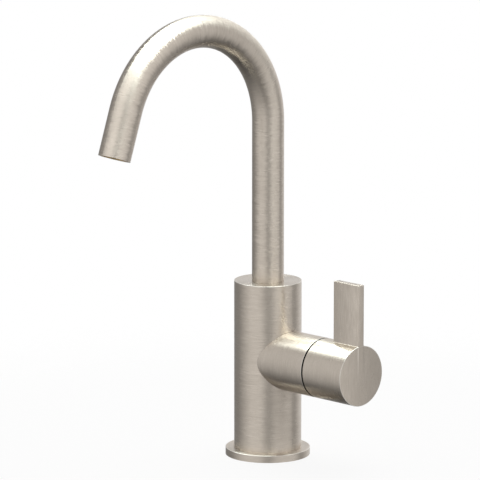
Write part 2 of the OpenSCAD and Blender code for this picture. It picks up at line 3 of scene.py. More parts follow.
import bpy
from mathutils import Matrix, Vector


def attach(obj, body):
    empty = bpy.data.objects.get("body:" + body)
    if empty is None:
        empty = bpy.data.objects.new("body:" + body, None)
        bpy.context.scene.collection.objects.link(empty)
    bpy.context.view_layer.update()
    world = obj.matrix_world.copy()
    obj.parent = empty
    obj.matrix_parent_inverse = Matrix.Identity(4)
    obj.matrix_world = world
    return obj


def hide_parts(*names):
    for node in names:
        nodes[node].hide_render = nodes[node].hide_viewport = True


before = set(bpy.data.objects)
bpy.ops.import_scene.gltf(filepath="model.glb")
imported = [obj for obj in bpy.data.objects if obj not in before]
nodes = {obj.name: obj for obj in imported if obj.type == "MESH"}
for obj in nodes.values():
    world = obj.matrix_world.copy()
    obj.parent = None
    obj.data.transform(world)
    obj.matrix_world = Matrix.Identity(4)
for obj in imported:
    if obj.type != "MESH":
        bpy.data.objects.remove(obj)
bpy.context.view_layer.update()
MM = 0.001


# Base gasket: a flat ring of black rubber that seals the flange against the deck. It is moulded,
# so it is matt, with the fine grain of its mould, and it is pressed into a groove in the flange.
def linear(hex_colour):
    """The colour that an sRGB hex value stands for, as the renderer takes it."""
    parts = [int(hex_colour[i:i + 2], 16) / 255 for i in (1, 3, 5)]
    return [p / 12.92 if p <= 0.04045 else ((p + 0.055) / 1.055) ** 2.4 for p in parts] + [1]


def add(tree, kind, settings, links):
    """Adds a node. A link is a value for an input, or the output that feeds it."""
    node = tree.nodes.new(kind)
    for name, value in settings.items():
        setattr(node, name, value)
    for name, value in links.items():
        if isinstance(value, bpy.types.NodeSocket):
            tree.links.new(value, node.inputs[name])
        else:
            node.inputs[name].default_value = value
    return node


def blank_material(name):
    """A material with an empty node tree, and the point on the piece that its patterns start from."""
    material = bpy.data.materials.new(name)
    material.use_nodes = True
    tree = material.node_tree
    tree.nodes.clear()
    return material, tree, add(tree, "ShaderNodeTexCoord", {}, {}).outputs["Object"]


def dress(node, material):
    """Gives a CAD piece its finish, in all its slots."""
    if not nodes[node].data.materials:
        nodes[node].data.materials.append(material)
    for slot in nodes[node].material_slots:
        slot.material = material


def moulded(name, dark, light, roughness, grain, depth, shine=0.5):
    """A moulded rubber or plastic: two near tones in a soft mottle, with the mould's fine grain as bump."""
    material, tree, point = blank_material(name)
    fine = add(tree, "ShaderNodeTexNoise", {}, {"Vector": point, "Scale": 1 / grain, "Detail": 3.0})
    cloud = add(tree, "ShaderNodeTexNoise", {}, {"Vector": point, "Scale": 0.1 / grain, "Detail": 2.0})
    tone = add(tree, "ShaderNodeMix", {"data_type": "RGBA"},
               {"Factor": cloud.outputs["Fac"], "A": linear(dark), "B": linear(light)})
    gloss = add(tree, "ShaderNodeMapRange", {},
                {"Value": fine.outputs["Fac"], "To Min": roughness - 0.06, "To Max": roughness + 0.06})
    bump = add(tree, "ShaderNodeBump", {},
               {"Height": fine.outputs["Fac"], "Strength": 0.3, "Distance": depth})
    shader = add(tree, "ShaderNodeBsdfPrincipled", {},
                 {"Base Color": tone.outputs["Result"], "Roughness": gloss.outputs["Result"],
                  "Specular IOR Level": shine, "Normal": bump.outputs["Normal"]})
    add(tree, "ShaderNodeOutputMaterial", {}, {"Surface": shader.outputs["BSDF"]})
    return material


rubber = moulded("moulded_black_rubber", "#191918", "#262523", 0.72, 0.35 * MM, 0.03 * MM)
dress("base_gasket", rubber)


# Base flange: a turned brass ring under the column, plated with nickel and brushed on the lathe, so
# its scratches run round it. They stretch every reflection up and down, across the scratches, and
# leave it sharp round the ring, which gives the upright light and dark bands.
nickel_light = "#DAD0C4"
nickel_dark = "#C1B7AB"
# This pale tone is the colour of a painted highlight, mixed in along the turned rims and beside the blade's
# foot.
nickel_highlight = "#F4EFE6"
scratch_width = 0.32 * MM
scratch_length = 9 * MM
scratch_depth = 0.05 * MM
scratch_sway = 0.1
cloud_size = 14 * MM
rough_most = 0.43
rough_least = 0.23
faced_rough = 0.25
stretch = 0.78
# How strongly the painted highlight lightens the turned rims.
rim_highlight_strength = 0.8
fine_rim = 0.14 * MM
cad_chamfer = 0.5 * MM


def finer_copy(node, name, body):
    """A copy of a CAD piece for a finer shape, still with its true shading. It stands for the node."""
    piece = bpy.data.objects.new(name, nodes[node].data.copy())
    bpy.context.scene.collection.objects.link(piece)
    bpy.ops.object.select_all(action="DESELECT")
    piece.select_set(True)
    bpy.context.view_layer.objects.active = piece
    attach(piece, body)
    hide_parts(node)
    return piece


def select_loop(piece, on_loop):
    """Selects the points of the active piece for which on_loop is true, in edit mode."""
    bpy.ops.object.mode_set(mode="EDIT")
    bpy.ops.mesh.select_mode(type="VERT")
    bpy.ops.mesh.select_all(action="DESELECT")
    bpy.ops.object.mode_set(mode="OBJECT")
    for point in piece.data.vertices:
        point.select = on_loop(point.co)
    bpy.ops.object.mode_set(mode="EDIT")


def sharpen_rim(piece, axis, centre, radius, face, rim):
    """Takes a turned rim's chamfer down to a finer one. face is the rim's place along the axis."""
    line = {"Z": 2, "X": 0}[axis]
    middle = Vector(centre)
    middle[line] = face

    def off_axis(place):
        out = Vector(place) - middle
        out[line] = 0
        return out.length

    low = face - cad_chamfer
    near = 0.02 * MM
    select_loop(piece, lambda place: abs(place[line] - low) < near and abs(off_axis(place) - radius) < near)
    slide = Vector((0, 0, 0))
    slide[line] = cad_chamfer - rim
    bpy.ops.transform.translate(value=slide)
    bpy.ops.object.mode_set(mode="OBJECT")
    select_loop(piece, lambda place: abs(place[line] - face) < near
                and abs(off_axis(place) - radius + cad_chamfer) < near)
    grow = [(radius - rim) / (radius - cad_chamfer)] * 3
    grow[line] = 1
    bpy.ops.transform.resize(value=grow, center_override=middle)
    bpy.ops.mesh.select_all(action="DESELECT")
    bpy.ops.object.mode_set(mode="OBJECT")


def brushed_nickel(material_parts, across, tangent, turn, painted_highlight=None, crown=None, faced=None,
                   width=scratch_width, waver=scratch_sway):
    """Brushed nickel plate. Real scratches are about 0.05 mm wide, which is too fine to show: these
    are drawn half a pixel of the photograph wide, with finer ones in them. across is the distance
    across the scratches, and the mask after turn is a painted highlight, 1 where the colour is lightened
    on the turned rims and in the pale line beside the blade's foot. crown is the height that the belt
    has left, and faced is 1 on a face that was turned smooth before it was brushed. width is how wide a
    scratch is, and waver is how far one leans along its own line."""
    material, tree, point = material_parts
    slow = add(tree, "ShaderNodeVectorMath", {"operation": "SCALE"},
               {0: point, "Scale": 1 / scratch_length})
    fast = add(tree, "ShaderNodeMath", {"operation": "DIVIDE"}, {0: across, 1: width})
    scratch = add(tree, "ShaderNodeTexNoise", {"noise_dimensions": "4D"},
                  {"Vector": slow.outputs["Vector"], "W": fast.outputs["Value"], "Scale": 1.0,
                   "Detail": 4.0, "Roughness": 0.7})
    cloud = add(tree, "ShaderNodeTexNoise", {}, {"Vector": point, "Scale": 1 / cloud_size, "Detail": 2.0})
    mixed = add(tree, "ShaderNodeMath", {"operation": "MULTIPLY_ADD"},
                {0: cloud.outputs["Fac"], 1: 0.25, 2: scratch.outputs["Fac"]})
    share = add(tree, "ShaderNodeMapRange", {},
                {"Value": mixed.outputs["Value"], "From Min": 0.38, "From Max": 0.87})
    tone = add(tree, "ShaderNodeMix", {"data_type": "RGBA"},
               {"Factor": share.outputs["Result"], "A": linear(nickel_dark), "B": linear(nickel_light)})
    # Painted highlight: the colour is lightened towards the pale tone along the rims and beside the blade's
    # foot.
    if painted_highlight is not None:
        tone = add(tree, "ShaderNodeMix", {"data_type": "RGBA"},
                   {"Factor": painted_highlight, "A": tone.outputs["Result"], "B": linear(nickel_highlight)})
    gloss = add(tree, "ShaderNodeMapRange", {},
                {"Value": scratch.outputs["Fac"], "From Min": 0.3, "From Max": 0.7,
                 "To Min": rough_most, "To Max": rough_least})
    if faced is not None:
        gloss = add(tree, "ShaderNodeMapRange", {},
                    {"Value": faced, "To Min": gloss.outputs["Result"], "To Max": faced_rough})
    # Each scratch also sways a little along its own line, which makes a highlight's border ragged.
    facing = add(tree, "ShaderNodeNewGeometry", {}, {})
    line = tangent
    if turn == 0:
        line = add(tree, "ShaderNodeVectorMath", {"operation": "CROSS_PRODUCT"},
                   {0: facing.outputs["Normal"], 1: tangent}).outputs["Vector"]
    other = add(tree, "ShaderNodeSeparateXYZ", {}, {"Vector": scratch.outputs["Color"]})
    sway = add(tree, "ShaderNodeMapRange", {},
               {"Value": other.outputs["Y"], "From Min": 0.3, "From Max": 0.7,
                "To Min": -waver, "To Max": waver})
    lean = add(tree, "ShaderNodeVectorMath", {"operation": "SCALE"},
               {0: line, "Scale": sway.outputs["Result"]})
    leant = add(tree, "ShaderNodeVectorMath", {"operation": "ADD"},
                {0: facing.outputs["Normal"], 1: lean.outputs["Vector"]})
    normal = add(tree, "ShaderNodeVectorMath", {"operation": "NORMALIZE"},
                 {0: leant.outputs["Vector"]}).outputs["Vector"]
    if crown is not None:
        crowned = add(tree, "ShaderNodeBump", {},
                      {"Height": crown, "Strength": 1.0, "Distance": 1.0, "Normal": normal})
        normal = crowned.outputs["Normal"]
    bump = add(tree, "ShaderNodeBump", {},
               {"Height": scratch.outputs["Fac"], "Strength": 0.3, "Distance": scratch_depth,
                "Normal": normal})
    shader = add(tree, "ShaderNodeBsdfPrincipled", {},
                 {"Base Color": tone.outputs["Result"], "Metallic": 1.0,
                  "Roughness": gloss.outputs["Result"], "Anisotropic": stretch,
                  "Anisotropic Rotation": turn, "Normal": bump.outputs["Normal"], "Tangent": tangent})
    add(tree, "ShaderNodeOutputMaterial", {}, {"Surface": shader.outputs["BSDF"]})
    return material


def turned_place(tree, point, axis, centre):
    """For a turned piece: the distance from its axis, the distance along it, and both as one place."""
    place = add(tree, "ShaderNodeVectorMath", {"operation": "SUBTRACT"}, {0: point, 1: centre})
    flat = {"Z": (1, 1, 0), "X": (0, 1, 1)}[axis]
    off_axis = add(tree, "ShaderNodeVectorMath", {"operation": "MULTIPLY"},
                   {0: place.outputs["Vector"], 1: flat})
    radius = add(tree, "ShaderNodeVectorMath", {"operation": "LENGTH"}, {0: off_axis.outputs["Vector"]})
    along = add(tree, "ShaderNodeVectorMath", {"operation": "DOT_PRODUCT"},
                {0: place.outputs["Vector"], 1: [1 - f for f in flat]})
    profile = add(tree, "ShaderNodeCombineXYZ", {},
                  {"X": radius.outputs["Value"], "Y": along.outputs["Value"]})
    return radius.outputs["Value"], along.outputs["Value"], profile.outputs["Vector"]


def rim_highlight_mask(tree, profile, rims):
    """A painted highlight along the turned rims: 1 on each rim, given as a radius and a place
    along the axis, and 0 half a millimetre away.
    """
    painted_highlight = None
    for radius, along in rims:
        away = add(tree, "ShaderNodeVectorMath", {"operation": "DISTANCE"},
                   {0: profile, 1: (radius, along, 0)})
        rim = add(tree, "ShaderNodeMapRange", {"interpolation_type": "SMOOTHSTEP"},
                  {"Value": away.outputs["Value"], "From Min": 0.15 * MM, "From Max": 0.6 * MM,
                   "To Min": rim_highlight_strength, "To Max": 0.0})
        if painted_highlight is None:
            painted_highlight = rim.outputs["Result"]
        else:
            painted_highlight = add(tree, "ShaderNodeMath", {"operation": "MAXIMUM"},
                       {0: painted_highlight, 1: rim.outputs["Result"]}).outputs["Value"]
    return painted_highlight


def turned_nickel(name, axis, centre, rims, face=1.0):
    """Nickel brushed on the lathe about an axis, Z or X: the scratches are rings, on its end faces too.
    Beyond face, a place along the axis, the metal was turned smooth first."""
    parts = blank_material(name)
    material, tree, point = parts
    radius, along, profile = turned_place(tree, point, axis, centre)
    across = add(tree, "ShaderNodeMath", {"operation": "ADD"}, {0: radius, 1: along})
    tangent = add(tree, "ShaderNodeTangent", {"direction_type": "RADIAL", "axis": axis}, {})
    faced = add(tree, "ShaderNodeMath", {"operation": "GREATER_THAN"}, {0: along, 1: face - 0.01 * MM})
    # The turned rims get a painted highlight.
    return brushed_nickel(parts, across.outputs["Value"], tangent.outputs["Tangent"], 0.25,
                          rim_highlight_mask(tree, profile, rims), None, faced.outputs["Value"])


flange_radius = 29.25 * MM
flange_top = 5 * MM
flange = finer_copy("base_flange", "flange", "body")
sharpen_rim(flange, "Z", (0, 0, 0), flange_radius, flange_top, fine_rim)
flange.data.materials.clear()
flange.data.materials.append(turned_nickel("flange_brushed_nickel", "Z", (0, 0, 0),
                                           [(flange_radius, flange_top)]))


# Column: turned and drilled from one brass bar, then plated and brushed like the flange. It drops
# into the flange and is held down by the stud below.
column_radius = 23.25 * MM
column_top = 122.5 * MM
column_rim = 0.07 * MM
column = finer_copy("column", "drilled_column", "body")
sharpen_rim(column, "Z", (0, 0, 0), column_radius, column_top, column_rim)
column.data.materials.clear()
column.data.materials.append(turned_nickel("column_brushed_nickel", "Z", (0, 0, 0),
                                           [(column_radius, column_top)], column_top))


# Swing stop: a stainless M5 grub screw in the column's back, whose plain tip runs in the groove of
# the spout's foot. The hexagon socket in its end is all that shows of it.
def turned_metal(name, dark, light, roughness, axis, pitch):
    """A bare turned metal: fine rings left by the tool, as tone, gloss and bump."""
    material, tree, point = blank_material(name)
    across = add(tree, "ShaderNodeVectorMath", {"operation": "DOT_PRODUCT"}, {0: point, 1: axis})
    fast = add(tree, "ShaderNodeMath", {"operation": "DIVIDE"}, {0: across.outputs["Value"], 1: pitch})
    slow = add(tree, "ShaderNodeVectorMath", {"operation": "SCALE"}, {0: point, "Scale": 1 / (6 * MM)})
    rings = add(tree, "ShaderNodeTexNoise", {"noise_dimensions": "4D"},
                {"Vector": slow.outputs["Vector"], "W": fast.outputs["Value"], "Scale": 1.0, "Detail": 3.0})
    tone = add(tree, "ShaderNodeMix", {"data_type": "RGBA"},
               {"Factor": rings.outputs["Fac"], "A": linear(dark), "B": linear(light)})
    gloss = add(tree, "ShaderNodeMapRange", {},
                {"Value": rings.outputs["Fac"], "To Min": roughness + 0.08, "To Max": roughness - 0.08})
    bump = add(tree, "ShaderNodeBump", {},
               {"Height": rings.outputs["Fac"], "Strength": 0.3, "Distance": 0.02 * MM})
    shader = add(tree, "ShaderNodeBsdfPrincipled", {},
                 {"Base Color": tone.outputs["Result"], "Metallic": 1.0,
                  "Roughness": gloss.outputs["Result"], "Normal": bump.outputs["Normal"]})
    add(tree, "ShaderNodeOutputMaterial", {}, {"Surface": shader.outputs["BSDF"]})
    return material


steel = turned_metal("stainless_steel", "#8E8B86", "#A5A29C", 0.34, (0.0, 1.0, 0.2), 0.3 * MM)
dress("spout_stop_screw", steel)


# Glide ring: a white acetal washer on the floor of the socket, which carries the spout's foot.
# Moulded and left as it comes, slightly waxy.
acetal = moulded("moulded_white_acetal", "#DEDBD2", "#EBE9E2", 0.42, 0.5 * MM, 0.01 * MM)
dress("spout_glide_ring", acetal)


# Side barrel: a turned brass sleeve, brazed into a pocket in the column and brushed with it, so its
# scratches run round its own axis.
valve_axis = (0, 0, 69 * MM)
valve_radius = 20.75 * MM
valve_mouth = 52.5 * MM
barrel = finer_copy("valve_barrel", "side_barrel", "body")
sharpen_rim(barrel, "X", valve_axis, valve_radius, valve_mouth, fine_rim)
barrel.data.materials.clear()
barrel.data.materials.append(turned_nickel("barrel_brushed_nickel", "X", valve_axis,
                                           [(valve_radius, valve_mouth)]))


# Cartridge: two lapped alumina discs in a moulded housing, on a rubber seal, with a carrier and a
# splined brass stem. It is bought as one unit and held down by a slotted brass nut.
def lapped_ceramic(name, dark, light):
    """Alumina, sintered and lapped flat: a dense cream white with a faint grain and a dull gloss."""
    material, tree, point = blank_material(name)
    grain = add(tree, "ShaderNodeTexNoise", {}, {"Vector": point, "Scale": 1 / (0.4 * MM), "Detail": 4.0})
    pores = add(tree, "ShaderNodeTexVoronoi", {}, {"Vector": point, "Scale": 1 / (0.6 * MM)})
    tone = add(tree, "ShaderNodeMix", {"data_type": "RGBA"},
               {"Factor": grain.outputs["Fac"], "A": linear(dark), "B": linear(light)})
    gloss = add(tree, "ShaderNodeMapRange", {},
                {"Value": grain.outputs["Fac"], "To Min": 0.22, "To Max": 0.36})
    bump = add(tree, "ShaderNodeBump", {},
               {"Height": pores.outputs["Distance"], "Strength": 0.1, "Distance": 0.005 * MM})
    shader = add(tree, "ShaderNodeBsdfPrincipled", {},
                 {"Base Color": tone.outputs["Result"], "IOR": 1.76,
                  "Roughness": gloss.outputs["Result"], "Normal": bump.outputs["Normal"]})
    add(tree, "ShaderNodeOutputMaterial", {}, {"Surface": shader.outputs["BSDF"]})
    return material


alumina = lapped_ceramic("lapped_alumina", "#EBE6D9", "#F5F2E9")
nylon = moulded("moulded_glass_filled_nylon", "#D2CDBE", "#DEDACD", 0.5, 0.4 * MM, 0.02 * MM)
brass_dark = "#C6A458"
brass_light = "#DABB73"
brass_pitch = 0.25 * MM
brass_along_x = turned_metal("turned_brass_x", brass_dark, brass_light, 0.3, (1.0, 0.0, 0.0), brass_pitch)
dress("cartridge_seal", rubber)
dress("cartridge_base", nylon)
dress("fixed_disc", alumina)
dress("moving_disc", alumina)
dress("disc_carrier", nylon)
dress("cartridge_stem", brass_along_x)
dress("stem_oring", rubber)
dress("cartridge_housing", nylon)
dress("cartridge_nut", brass_along_x)


# Parting ring: a black acetal ring clipped into the barrel's mouth. It guides the hub and fills the
# gap between the two to just below the surface, so the gap reads as one dark line.
cad_ring_radius = 19.95 * MM
ring_radius = 20.7 * MM
ring_shine = 0.1
ring = finer_copy("parting_ring", "guide_ring", "body")
select_loop(ring, lambda place: abs(math.hypot(place.y, place.z - valve_axis[2]) - cad_ring_radius)
            < 0.02 * MM)
bpy.ops.transform.resize(value=(1, ring_radius / cad_ring_radius, ring_radius / cad_ring_radius),
                         center_override=valve_axis)
bpy.ops.object.mode_set(mode="OBJECT")
ring.data.materials.clear()
ring.data.materials.append(moulded("moulded_black_acetal", "#161412", "#201D1A", 0.7, 0.4 * MM, 0.02 * MM,
                                   ring_shine))


# Handle adapter: a die-cast zinc insert between the splined stem and the hub, grey and slightly
# grainy from the die.
def cast_metal(name, dark, light, roughness):
    """A die-cast metal: a blotchy grey with the die's soft grain."""
    material, tree, point = blank_material(name)
    grain = add(tree, "ShaderNodeTexNoise", {}, {"Vector": point, "Scale": 1 / (0.8 * MM), "Detail": 5.0})
    tone = add(tree, "ShaderNodeMix", {"data_type": "RGBA"},
               {"Factor": grain.outputs["Fac"], "A": linear(dark), "B": linear(light)})
    gloss = add(tree, "ShaderNodeMapRange", {},
                {"Value": grain.outputs["Fac"], "To Min": roughness - 0.1, "To Max": roughness + 0.1})
    bump = add(tree, "ShaderNodeBump", {},
               {"Height": grain.outputs["Fac"], "Strength": 0.4, "Distance": 0.04 * MM})
    shader = add(tree, "ShaderNodeBsdfPrincipled", {},
                 {"Base Color": tone.outputs["Result"], "Metallic": 1.0,
                  "Roughness": gloss.outputs["Result"], "Normal": bump.outputs["Normal"]})
    add(tree, "ShaderNodeOutputMaterial", {}, {"Surface": shader.outputs["BSDF"]})
    return material


dress("handle_adapter", cast_metal("die_cast_zinc", "#A5A39E", "#B8B6B1", 0.45))


# Hub: a turned brass cup on the adapter, plated and brushed. Its round side is brushed on the lathe
# like the barrel, and its end was linished upright together with the blade's edge. The belt leaves
# that face very slightly crowned and the blade's foot a little proud, which shifts its reflection.
hub_back = 53.5 * MM
hub_end = 89 * MM
end_crown_radius = 100 * MM
foot_half = 2.7 * MM
foot_step = 0.9 * MM
foot_height = 0.2 * MM
foot_reach = 8 * MM
# How bright the painted reflection line beside the blade's foot is drawn on the hub's end.
foot_highlight_strength = 0.3
end_sway = 0.06
hub = finer_copy("handle_hub", "turned_hub", "lever")
sharpen_rim(hub, "X", valve_axis, valve_radius, hub_end, fine_rim)


def crown_of(tree, offset, crown_radius):
    """How far a face that is crowned to a radius falls back at an offset from its highest line."""
    square = add(tree, "ShaderNodeMath", {"operation": "MULTIPLY"}, {0: offset, 1: offset})
    fall = add(tree, "ShaderNodeMath", {"operation": "MULTIPLY"},
               {0: square.outputs["Value"], 1: -0.5 / crown_radius})
    return fall.outputs["Value"]


material, tree, point = parts = blank_material("hub_brushed_nickel")
radius, along, profile = turned_place(tree, point, "X", valve_axis)
axes = add(tree, "ShaderNodeSeparateXYZ", {}, {"Vector": point})
on_end = add(tree, "ShaderNodeMath", {"operation": "GREATER_THAN"}, {0: along, 1: hub_end - 0.01 * MM})
# The scratches across the end face lie along Y, and across the round side along X.
across = add(tree, "ShaderNodeMix", {"data_type": "FLOAT"},
             {"Factor": on_end.outputs["Value"], "A": along, "B": axes.outputs["Y"]})
lie = add(tree, "ShaderNodeMix", {"data_type": "VECTOR"},
          {"Factor": on_end.outputs["Value"], "A": (1, 0, 0), "B": (0, 1, 0)})
tangent = add(tree, "ShaderNodeVectorTransform",
              {"vector_type": "VECTOR", "convert_from": "OBJECT", "convert_to": "WORLD"},
              {"Vector": lie.outputs["Result"]})
# Below the blade, the foot's two borders show as faint upright lines that fade out downwards.
off_middle = add(tree, "ShaderNodeMath", {"operation": "ABSOLUTE"}, {0: axes.outputs["Y"]})
foot_width = add(tree, "ShaderNodeMapRange", {"interpolation_type": "SMOOTHSTEP"},
                 {"Value": off_middle.outputs["Value"], "From Min": foot_half - foot_step,
                  "From Max": foot_half + foot_step, "To Min": foot_height, "To Max": 0.0})
foot_fade = add(tree, "ShaderNodeMapRange", {"interpolation_type": "SMOOTHSTEP"},
                {"Value": axes.outputs["Z"], "From Min": valve_axis[2] - foot_reach,
                 "From Max": valve_axis[2] + valve_radius})
foot = add(tree, "ShaderNodeMath", {"operation": "MULTIPLY"},
           {0: foot_width.outputs["Result"], 1: foot_fade.outputs["Result"]})
worked = add(tree, "ShaderNodeMath", {"operation": "ADD"},
             {0: crown_of(tree, axes.outputs["Y"], end_crown_radius), 1: foot.outputs["Value"]})
crown = add(tree, "ShaderNodeMath", {"operation": "MULTIPLY"},
            {0: worked.outputs["Value"], 1: on_end.outputs["Value"]})
# A painted reflection: the border on the column's side is drawn a little brighter, as a pale upright
# line that fades out downwards.
from_border = add(tree, "ShaderNodeMath", {"operation": "ADD"}, {0: axes.outputs["Y"], 1: foot_half})
off_border = add(tree, "ShaderNodeMath", {"operation": "ABSOLUTE"}, {0: from_border.outputs["Value"]})
border = add(tree, "ShaderNodeMapRange", {"interpolation_type": "SMOOTHSTEP"},
             {"Value": off_border.outputs["Value"], "From Min": 0.2 * MM, "From Max": foot_step,
              "To Min": foot_highlight_strength, "To Max": 0.0})
faded = add(tree, "ShaderNodeMath", {"operation": "MULTIPLY"},
            {0: border.outputs["Result"], 1: foot_fade.outputs["Result"]})
foot_reflection_line = add(tree, "ShaderNodeMath", {"operation": "MULTIPLY"},
                {0: faded.outputs["Value"], 1: on_end.outputs["Value"]})
# The painted reflection line joins the painted highlight on the hub's rims.
painted_highlight = add(tree, "ShaderNodeMath", {"operation": "MAXIMUM"},
           {0: rim_highlight_mask(tree, profile, [(valve_radius, hub_back), (valve_radius, hub_end)]),
            1: foot_reflection_line.outputs["Value"]})
hub.data.materials.clear()
hub.data.materials.append(brushed_nickel(
    parts, across.outputs["Result"], tangent.outputs["Vector"], 0.0, painted_highlight.outputs["Value"],
    crown.outputs["Value"], None, scratch_width, end_sway))


# Blade: a flat brass bar brazed on the hub, with its outer edge flush with the hub's end. Its edges
# are rounded by hand, the braze is a small fillet round its foot, and it is plated and brushed along
# its length on all four sides.
blade_inner = 65.5 * MM
blade_half = 2.7 * MM
blade_tip = 131.7 * MM
blade_edge = 0.45 * MM
blade_scratch = 0.6 * MM
fillet = 0.7 * MM
fillet_steps = 5
smooth_below = math.radians(40)
blade_crown_line = 74 * MM
blade_crown_radius = 200 * MM
hub_top = valve_axis[2] + math.sqrt(valve_radius ** 2 - (blade_half + fillet) ** 2)
blade_foot = hub_top + fillet
blade_middle = ((blade_inner + hub_end) / 2, 0, blade_foot)
sink_depth = 0.45 * MM
sink_length, sink_width = 0.99, 1.05
tongue_step = 0.05 * MM
tongue_length = 17.8 * MM
tongue_width = 4.2 * MM
tongue_depth = 6.5 * MM
bpy.ops.object.select_all(action="DESELECT")
bpy.ops.mesh.primitive_cube_add(size=1, location=(blade_middle[0], 0, (blade_foot + blade_tip) / 2))
blade = bpy.context.object
blade.name = "handle_blade"
bpy.ops.transform.resize(value=(hub_end - blade_inner, 2 * blade_half, blade_tip - blade_foot))
bpy.ops.object.transform_apply(location=True, rotation=True, scale=True)
bpy.ops.object.mode_set(mode="EDIT")
bpy.ops.mesh.select_mode(type="EDGE")
bpy.ops.mesh.select_all(action="DESELECT")
bpy.ops.object.mode_set(mode="OBJECT")
for edge in blade.data.edges:
    ends = [blade.data.vertices[i].co for i in edge.vertices]
    edge.select = max(p.z for p in ends) > blade_tip - blade_edge
bpy.ops.object.mode_set(mode="EDIT")
bpy.ops.mesh.bevel(offset=blade_edge, segments=6, profile=0.5, affect="EDGES")
bpy.ops.mesh.select_all(action="DESELECT")
bpy.ops.mesh.select_mode(type="FACE")
bpy.ops.object.mode_set(mode="OBJECT")
for face in blade.data.polygons:
    face.select = face.normal.z < -0.9 and face.center.z < blade_foot + 0.01 * MM
bpy.ops.object.mode_set(mode="EDIT")
spread = 0.0
# The fillet's quarter circle, from the blade's side out to the hub's surface.
for step in range(1, fillet_steps + 1):
    bent_to = math.radians(90 * step / fillet_steps)
    bent_from = math.radians(90 * (step - 1) / fillet_steps)
    wider = fillet * (1 - math.cos(bent_to))
    lower = fillet * (math.sin(bent_to) - math.sin(bent_from))
    bpy.ops.mesh.extrude_region_move(TRANSFORM_OT_translate={"value": (0, 0, -lower)})
    bpy.ops.transform.resize(
        value=((hub_end - blade_inner + wider) / (hub_end - blade_inner + spread),
               (blade_half + wider) / (blade_half + spread), 1),
        center_override=(hub_end, 0, blade_foot))
    spread = wider
# Below the surface the foot draws in to the tongue that sits in the hub's slot.
bpy.ops.mesh.extrude_region_move(TRANSFORM_OT_translate={"value": (0, 0, -sink_depth)})
bpy.ops.transform.resize(value=(sink_length, sink_width, 1), center_override=blade_middle)
bpy.ops.mesh.extrude_region_move(TRANSFORM_OT_translate={"value": (0, 0, -tongue_step)})
bpy.ops.transform.resize(value=(tongue_length / (hub_end - blade_inner + spread),
                                tongue_width / (2 * sink_width * (blade_half + spread)), 1),
                         center_override=blade_middle)
bpy.ops.mesh.extrude_region_move(TRANSFORM_OT_translate={"value": (0, 0, -tongue_depth)})
bpy.ops.mesh.select_all(action="SELECT")
bpy.ops.mesh.normals_make_consistent(inside=False)
bpy.ops.mesh.select_all(action="DESELECT")
bpy.ops.object.mode_set(mode="OBJECT")
bpy.ops.object.shade_smooth_by_angle(angle=smooth_below)
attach(blade, "lever")
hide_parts("lever_blade")

material, tree, point = parts = blank_material("blade_brushed_nickel")
axes = add(tree, "ShaderNodeSeparateXYZ", {}, {"Vector": point})
level = add(tree, "ShaderNodeMath", {"operation": "ADD"}, {0: axes.outputs["X"], 1: axes.outputs["Y"]})
# The scratches run up the blade, with a slight lean so that no face looks straight along them.
up_blade = add(tree, "ShaderNodeVectorTransform",
               {"vector_type": "VECTOR", "convert_from": "OBJECT", "convert_to": "WORLD"},
               {"Vector": (0.01, 0.02, 1)})
facing = add(tree, "ShaderNodeNewGeometry", {}, {})
tangent = add(tree, "ShaderNodeVectorMath", {"operation": "CROSS_PRODUCT"},
              {0: up_blade.outputs["Vector"], 1: facing.outputs["Normal"]})
off_line = add(tree, "ShaderNodeMath", {"operation": "SUBTRACT"},
               {0: axes.outputs["X"], 1: blade_crown_line})
on_tip = add(tree, "ShaderNodeMath", {"operation": "GREATER_THAN"},
             {0: axes.outputs["Z"], 1: blade_tip - 0.01 * MM})
blade.data.materials.append(brushed_nickel(
    parts, level.outputs["Value"], tangent.outputs["Vector"], 0.0, None,
    crown_of(tree, off_line.outputs["Value"], blade_crown_radius), on_tip.outputs["Value"], blade_scratch,
    end_sway))


# Hub's grub screw: a stainless M5 screw with a hexagon socket, in a threaded hole in the hub's
# underside. It presses on the adapter and holds the hub on it.
dress("hub_grub_screw", steel)


# Spout foot: a turned brass plug brazed into the tube's lower end, with the stop's groove cut round
# it. Two rubber rings lie in grooves of their own and seal it in the column's socket.
brass_along_z = turned_metal("turned_brass_z", brass_dark, brass_light, 0.3, (0.0, 0.0, 1.0), brass_pitch)
dress("spout_foot", brass_along_z)
dress("spout_orings", rubber)


# Spout: one brass tube, bent on a mandrel, plated, and brushed round its own line all the way, so the
# scratches follow the bend. Riser, bend and tail share one measure along the tube's middle line.
bend_middle = (0, -68.5 * MM, 233.5 * MM)
bend_radius = 68.5 * MM
half_bend = math.radians(161 / 2)
spout_sway = 0.22
material, tree, point = parts = blank_material("spout_brushed_nickel")
place = add(tree, "ShaderNodeVectorMath", {"operation": "SUBTRACT"}, {0: point, 1: bend_middle})
# Turned by half the bend, so that the jump in the angle lies below, away from the tube.
turned = add(tree, "ShaderNodeVectorRotate", {"rotation_type": "X_AXIS"},
             {"Vector": place.outputs["Vector"], "Angle": -half_bend})
axes = add(tree, "ShaderNodeSeparateXYZ", {}, {"Vector": turned.outputs["Vector"]})
angle = add(tree, "ShaderNodeMath", {"operation": "ARCTAN2"}, {0: axes.outputs["Z"], 1: axes.outputs["Y"]})
inside = add(tree, "ShaderNodeClamp", {},
             {"Value": angle.outputs["Value"], "Min": -half_bend, "Max": half_bend})
bent = add(tree, "ShaderNodeMath", {"operation": "ADD"}, {0: inside.outputs["Result"], 1: half_bend})
sine = add(tree, "ShaderNodeMath", {"operation": "SINE"}, {0: bent.outputs["Value"]})
cosine = add(tree, "ShaderNodeMath", {"operation": "COSINE"}, {0: bent.outputs["Value"]})
back = add(tree, "ShaderNodeMath", {"operation": "MULTIPLY"}, {0: sine.outputs["Value"], 1: -1.0})
